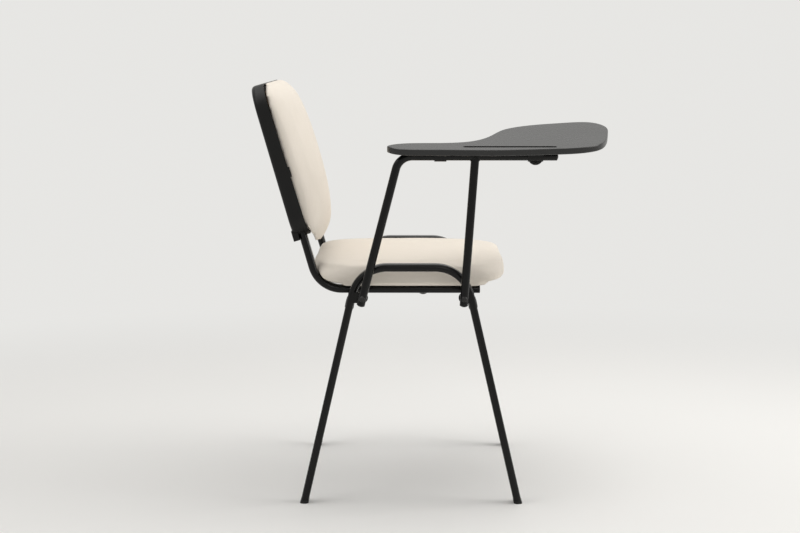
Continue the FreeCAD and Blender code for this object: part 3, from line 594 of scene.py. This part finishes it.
def makeSeat():
    level = seatCushion["flat"]
    form = gridPiece("seatForm", cushionForm(seatCushion) + middle, False, finishes["cream_cloth"])
    piece, points = puffUp(form, seatCushion, lambda p: p[:, 2] < level + seatCushion["held"])
    points = points - middle
    # pulled hem: shallow scallops along the lower edge of both sides, a cosine of the way forward
    low = np.clip(1.0 - (points[:, 2] - level) / seatCushion["hemRise"], 0.0, 1.0)
    rim = np.clip(1.0 - (seatCushion["half"] - np.abs(points[:, 1])) / seatCushion["hemReach"], 0.0, 1.0)
    scallop = 0.5 + 0.5 * np.cos(points[:, 0] * 2 * math.pi / seatCushion["hemPitch"])
    points[:, 2] += seatCushion["hemDepth"] * low * rim * scallop
    # kept inside the rails' bend
    forward, up, reach = seatCushion["bend"]
    railY, railHalf = seatCushion["rail"]
    off = points[:, [0, 2]] - (forward, up)
    away = np.linalg.norm(off, axis=1)
    overRail = np.abs(np.abs(points[:, 1]) - railY) < railHalf
    pulled = (off[:, 0] < 0) & (off[:, 1] < 0) & (away > reach) & overRail
    onBend = (forward, up) + off * (reach / away)[:, None]
    points[:, [0, 2]] = np.where(pulled[:, None], onBend, points[:, [0, 2]])
    # drawn down over the board's edge, on top of the rails and off the leg frames
    rear, front, half = seatCushion["board"]
    overBoard = (points[:, 0] > rear) & (points[:, 0] < front) & (np.abs(points[:, 1]) < half)
    under = overBoard & (points[:, 2] < level + seatCushion["boardRise"])
    points[:, 2] = np.where(under, level, np.maximum(points[:, 2], level))
    points[:, 1] = np.clip(points[:, 1], -seatCushion["widest"], seatCushion["widest"])
    dressCushion(piece, points + middle, ["seat_cover", "seat_foam"])


# back: outline as (up the tube, forward of its face), swelling out below the shell's lower rim
backCushion = {
    "name": "backCushion", "voxel": 0.0056, "half": 0.2292, "swell": 0.004,
    "noses": ((0.0815, 0.0105), (0.4172, 0.0045)), "top": 0.0528, "fall": (0.0, 0.0), "flat": 0.0006,
    "over": (2.25, 2.5), "below": (4.0, 4.0),   # powers of the outline's quarters, lower and upper
    "step": (0.1110, 0.002, 0.0082),    # where it hangs over the rim, the ramp's half run, and its rise
    "plan": (8.5, 8.5), "planEase": (-0.001, 0.010), "side": 5.0, "under": 5.0, "nose": 0.0020,
    "crown": (0.24, 0.34),
    "held": 0.006,      # held by the board up to here in front of the face
    "corner": (-0.1816, 0.4165), "recline": 16.1, "face": 0.0075,   # the tubes' corner, lean and half depth
    "rim": (0.1122, 0.0078), "rimEase": 0.004, "lowest": 0.080,     # the shell's rim and the low end
}
recline = math.radians(backCushion["recline"])
# the leaning back's own axes, as columns: up the tube, across, and forward of its face
backAxes = np.array([[-math.sin(recline), 0.0, math.cos(recline)], [0.0, 1.0, 0.0],
                     [math.cos(recline), 0.0, math.sin(recline)]])
cornerX, cornerZ = backCushion["corner"]
faceOff = np.array([0.0, 0.0, backCushion["face"]])
backFoot = middle + np.array([cornerX, 0.0, cornerZ]) + backAxes @ faceOff


def toChair(points):        # from the back's own axes to the chair's
    return points @ backAxes.T + backFoot


def toBack(points):         # and the other way
    return (points - backFoot) @ backAxes


def makeBack():
    form = gridPiece("backForm", toChair(cushionForm(backCushion)), False, finishes["cream_cloth"])
    piece, points = puffUp(form, backCushion, lambda p: toBack(p)[:, 2] < backCushion["held"])
    points = toBack(points)
    # kept inside the shell behind its rim, and in front of the tubes
    up, forward = backCushion["rim"]
    behind = np.clip((forward - points[:, 2]) / backCushion["rimEase"], 0.0, 1.0)
    points[:, 0] = np.maximum(points[:, 0], up * behind + (1.0 - behind) * backCushion["lowest"])
    limit = backCushion["half"] * behind + (1.0 - behind) * (backCushion["half"] + backCushion["swell"])
    points[:, 1] = np.clip(points[:, 1], -limit, limit)
    points[:, 2] = np.maximum(points[:, 2], backCushion["flat"])
    dressCushion(piece, toChair(points), ["back_cover", "back_foam"])


makeSeat()
makeBack()
print("cushions done")


# where tubes meet: cross bars on the leg frames, rails on the bars, post under the arm rail
welds = {
    "bead": 0.0017, "ripple": 0.16, "puddle": 0.0024, "around": 12,     # radius, ripple, ripple's length
    "taper": 8, "tip": 0.02,    # how an open bead thins out to its ends
    "nudge": (0.0001, 0.0002, 0.0003),      # keeps the outward side of a straight bead off its path
    "legPlane": 0.255, "nose": 0.0075, "splay": 13.0, "footReach": 0.210,
    "barHigh": 0.3945, "barDeep": 0.0070, "barFlat": 0.0075, "barSharp": 6.0, "barSteps": 72,
    "railPlane": 0.200, "railUnder": 0.4090, "railHalf": 0.012, "railSteps": 40,
    "railBow": 0.0006, "railBowTurn": 1.5, "railBack": 0.003, "railApart": 0.0062, "railDrop": 0.0012,
    "armRail": (-0.285, 0.6824), "armRadius": 0.008,
    "postTop": 0.1220, "postLean": 4.13, "postBead": 0.0013, "postSide": 0.97, "postSteps": 64,
}


# angles once round, evenly spaced
def circle(steps):
    return np.linspace(0.0, 2 * math.pi, steps, endpoint=False)


# weld bead: a circle carried along a path, its radius rippling once for each puddle of the weld
def weldBead(name, path, radius, closed):
    if closed:
        ahead, behind = np.roll(path, -1, axis=0), np.roll(path, 1, axis=0)
    else:
        ahead, behind = np.concatenate([path[1:], path[-1:]]), np.concatenate([path[:1], path[:-1]])
    tangent = ahead - behind
    tangent /= np.linalg.norm(tangent, axis=1, keepdims=True)
    outward = path - path.mean(axis=0) + np.array(welds["nudge"])
    side = np.cross(tangent, outward)
    side /= np.linalg.norm(side, axis=1, keepdims=True)
    lift = np.cross(side, tangent)
    along = np.concatenate([[0.0], np.cumsum(np.linalg.norm(np.diff(path, axis=0), axis=1))])
    thickness = radius * (1.0 + welds["ripple"] * np.cos(along * 2 * math.pi / welds["puddle"]))
    if not closed:
        ends = 1.0 - np.linspace(-1.0, 1.0, len(path)) ** welds["taper"]
        thickness = thickness * np.sqrt(np.clip(ends, welds["tip"], 1.0))
    angle = circle(welds["around"])[None, :, None]
    ring = np.cos(angle) * side[:, None, :] + np.sin(angle) * lift[:, None, :]
    points = path[:, None, :] + thickness[:, None, None] * ring + middle
    seated(gridPiece(name, points, closed, finishes["black_steel"]))


# the bar's oval end laid on the round nose of the leg tube: further in where the nose falls away
def barPath(fore, side, barX, lean):
    angle = circle(welds["barSteps"])
    flat = welds["barFlat"] * np.clip(np.sin(angle) * welds["barSharp"], -1.0, 1.0)
    tall = flat + welds["barDeep"] * np.sin(angle)
    deep = welds["barDeep"] * np.cos(angle)
    x = barX - tall * math.sin(lean) + deep * math.cos(lean)
    y = welds["legPlane"] - welds["nose"] - np.sqrt(welds["nose"] ** 2 - deep ** 2)
    z = welds["barHigh"] + tall * math.cos(lean) + deep * math.sin(lean)
    return np.stack([fore * x, side * y, z], axis=1)


# a short run across the rail's underside, bowed down by a cosine
def railPath(x, side):
    steps = welds["railSteps"]
    y = side * welds["railPlane"] + np.linspace(-welds["railHalf"], welds["railHalf"], steps)
    bow = welds["railBow"] * np.cos(np.linspace(-welds["railBowTurn"], welds["railBowTurn"], steps))
    return np.stack([np.full(steps, x), y, welds["railUnder"] - welds["railDrop"] - bow], axis=1)


# post under the rail: equal tubes, so the joint climbs to the rail's sides
def postPath():
    railY, railZ = welds["armRail"]
    radius = welds["armRadius"]
    angle = circle(welds["postSteps"])
    across = radius * np.sin(angle)
    drop = np.sqrt(np.maximum(radius ** 2 - across ** 2, 0.0))
    x = welds["postTop"] + radius * np.cos(angle) - drop * math.tan(math.radians(welds["postLean"]))
    return np.stack([x, railY + across * welds["postSide"], railZ - drop], axis=1)


def makeWelds():
    lean = math.radians(welds["splay"])
    barX = welds["footReach"] - welds["barHigh"] * math.tan(lean)
    for fore, end in ((-1, "Rear"), (1, "Front")):
        for side, hand in ((-1, "Right"), (1, "Left")):
            weldBead("barWeld" + end + hand, barPath(fore, side, barX, lean), welds["bead"], True)
            for off, face in ((-1, "A"), (1, "B")):
                x = fore * barX - fore * welds["railBack"] + off * welds["railApart"]
                weldBead("railWeld" + end + hand + face, railPath(x, side), welds["bead"], False)
    weldBead("postWeld", postPath(), welds["postBead"], True)


makeWelds()
print("welds done")


# staples round the hem under the seat: flat wire crowns bent at both ends, one copy for each place
staples = {
    "half": 0.201, "rear": -0.118, "front": 0.131, "level": 0.4245, "pitch": 0.032,
    "sideMargins": (0.02, 0.01), "endMargins": (0.035, 0.02),   # left free at the start and end of a row
    "length": 0.0100, "wire": 0.0012, "flatness": 0.6, "sag": 0.0007, "bend": 6, "steps": 7, "sides": 6,
    "skew": 0.12, "skewBy": (900, 700),         # none is quite straight: a sine of its place turns it
}


# one staple is a flattened ring carried along a line that sags by a power of the way to its ends; it is
# turned about the upright by its row and a small sine of its place, and moved to each spot
def makeStaples():
    steps, sides = staples["steps"], staples["sides"]
    u = np.linspace(-1.0, 1.0, steps)
    sag = staples["sag"] * (1.0 - u ** staples["bend"])
    crown = np.stack([u * staples["length"] / 2, np.zeros(steps), -sag], axis=1)
    angle = circle(sides)
    ring = np.stack([np.zeros(sides), np.cos(angle), -staples["flatness"] * np.sin(angle)], axis=1)
    one = (crown[:, None, :] + ring[None, :, :] * staples["wire"] / 2)[None]
    sideStart, sideEnd = staples["sideMargins"]
    endStart, endEnd = staples["endMargins"]
    xs = np.arange(staples["rear"] + sideStart, staples["front"] - sideEnd, staples["pitch"])
    ys = np.arange(-staples["half"] + endStart, staples["half"] - endEnd, staples["pitch"])
    rows = [np.stack([xs, np.full(len(xs), y), np.zeros(len(xs))], axis=1)
            for y in (-staples["half"], staples["half"])]
    ends = [np.stack([np.full(len(ys), x), ys, np.full(len(ys), math.pi / 2)], axis=1)
            for x in (staples["rear"], staples["front"])]
    spots = np.concatenate(rows + ends)
    spotX, spotY, spotTurn = [spots[:, column][:, None, None] for column in range(3)]
    byX, byY = staples["skewBy"]
    turned = spotTurn + staples["skew"] * np.sin(spotX * byX + spotY * byY)
    x = np.cos(turned) * one[..., 0] - np.sin(turned) * one[..., 1] + spotX
    y = np.sin(turned) * one[..., 0] + np.cos(turned) * one[..., 1] + spotY
    z = np.broadcast_to(one[..., 2] + staples["level"], x.shape)
    points = np.stack([x, y, z], axis=-1).reshape(-1, 3)
    size = steps * sides
    faces = [[corner + first for corner in face] for first in range(0, len(points), size)
             for face in ringFaces(steps, sides, False)]
    seated(meshPiece("hemStaples", points + middle, faces, finishes["zinc_steel"]))


makeStaples()
print("staples done")


# stage: pale floor that fades into the backdrop colour, soft lamps and the camera at the photo's angle
stage = {
    "backdrop": (0.800, 0.794, 0.774), "sky": (1.0, 0.990, 0.975), "skyLevel": 0.38,
    "glossSeen": 0.55,          # how much of the backdrop a reflection meets
    "floor": (0.910, 0.904, 0.886), "floorDim": 0.985, "floorGrain": (3.0, 5.0), "floorRough": 0.6,
    "floorGloss": 0.25, "reach": 30.0, "rimSteps": 96, "fade": (0.9, 2.5),
    "aim": (0.0, 0.0, 0.45),
    "lamps": [      # name, place, size, watts, colour
        ("overhead", (0.4, 0.5, 3.1), 3.8, 56.0, (1.0, 0.990, 0.97)),
        ("front", (2.9, -0.2, 1.9), 2.0, 31.0, (1.0, 0.985, 0.965)),
        ("rear", (-1.7, -0.9, 2.9), 2.0, 16.0, (1.0, 0.990, 0.975)),
        ("glint", (0.5, -3.3, 2.2), 0.5, 5.0, (1.0, 0.990, 0.975)),
    ],
    "camera": (0.0036, -3.714, 0.898), "pitch": 7.10, "turn": 0.42, "lens": 81.0, "sensor": 36.0,
}


# how much of the pale backdrop a ray meets: what the camera sees directly or through glass, all of it,
# a reflection about half, and light that scatters, none
def seenRays(base):
    camera, glossy, through = [base.new("ShaderNodeLightPath", {}, {}, name) for name in
                               ("Is Camera Ray", "Is Glossy Ray", "Is Transmission Ray")]
    return camera.atLeast(stage["glossSeen"] * glossy).atLeast(through)


def makeWorld():
    world = bpy.data.worlds.new("studio")
    scene.world = world
    base = clearTree(world)
    light = {"Color": (*stage["sky"], 1.0), "Strength": stage["skyLevel"]}
    sky = base.new("ShaderNodeBackground", {}, light)
    pale = base.new("ShaderNodeBackground", {}, {"Color": (*stage["backdrop"], 1.0), "Strength": 1.0})
    shown = base.new("ShaderNodeMixShader", {}, {0: seenRays(base), 1: sky, 2: pale})
    base.new("ShaderNodeOutputWorld", {}, {"Surface": shown})


# a disc whose colour goes over to the backdrop's by an eased ramp of the distance from its middle
def makeFloor():
    material = bpy.data.materials.new("paleFloor")
    base = clearTree(material)
    place = base.new("ShaderNodeTexCoord", {}, {}, "Object")
    x, y, _ = place.parts()
    away = (x * x + y * y) ** 0.5
    near, far = stage["fade"]
    fade = base.new("ShaderNodeMapRange", {"interpolation_type": "SMOOTHSTEP"},
                    {"Value": away, "From Min": near, "From Max": far})
    dim = tuple(channel * stage["floorDim"] for channel in stage["floor"])
    floor = base.new("ShaderNodeBsdfPrincipled", {}, {
        "Base Color": place.noise(*stage["floorGrain"]).blend(dim, stage["floor"]),
        "Roughness": stage["floorRough"],
        "Specular IOR Level": stage["floorGloss"],
    })
    pale = base.new("ShaderNodeEmission", {}, {"Color": (*stage["backdrop"], 1.0), "Strength": 1.0})
    shown = base.new("ShaderNodeMixShader", {}, {0: fade * seenRays(base), 1: floor, 2: pale})
    base.new("ShaderNodeOutputMaterial", {}, {"Surface": shown})
    angle = circle(stage["rimSteps"])
    rim = stage["reach"] * np.stack([np.cos(angle), np.sin(angle), np.zeros(len(angle))], axis=1)
    ground = meshPiece("floor", rim, [list(range(len(angle)))], material)


def makeLamps():
    for name, spot, size, watts, colour in stage["lamps"]:
        data = bpy.data.lights.new(name, "AREA")
        data.shape = "SQUARE"
        data.size = size
        data.energy = watts
        data.color = colour
        lamp = bpy.data.objects.new(name, data)
        lamp.location = spot
        aim = np.array(stage["aim"]) - np.array(spot)
        tilt = math.acos(-aim[2] / np.linalg.norm(aim))
        lamp.rotation_euler = (tilt, 0.0, math.atan2(aim[1], aim[0]) - math.pi / 2)
        scene.collection.objects.link(lamp)


def makeCamera():
    data = bpy.data.cameras.new("photoView")
    data.lens = stage["lens"]
    data.sensor_width = stage["sensor"]
    camera = bpy.data.objects.new("photoView", data)
    camera.location = middle + np.array(stage["camera"])
    camera.rotation_euler = (math.radians(90.0 - stage["pitch"]), 0.0, math.radians(stage["turn"]))
    scene.collection.objects.link(camera)
    scene.camera = camera
    scene.view_settings.view_transform = "Standard"


makeWorld()
makeFloor()
makeLamps()
makeCamera()
print("stage done")
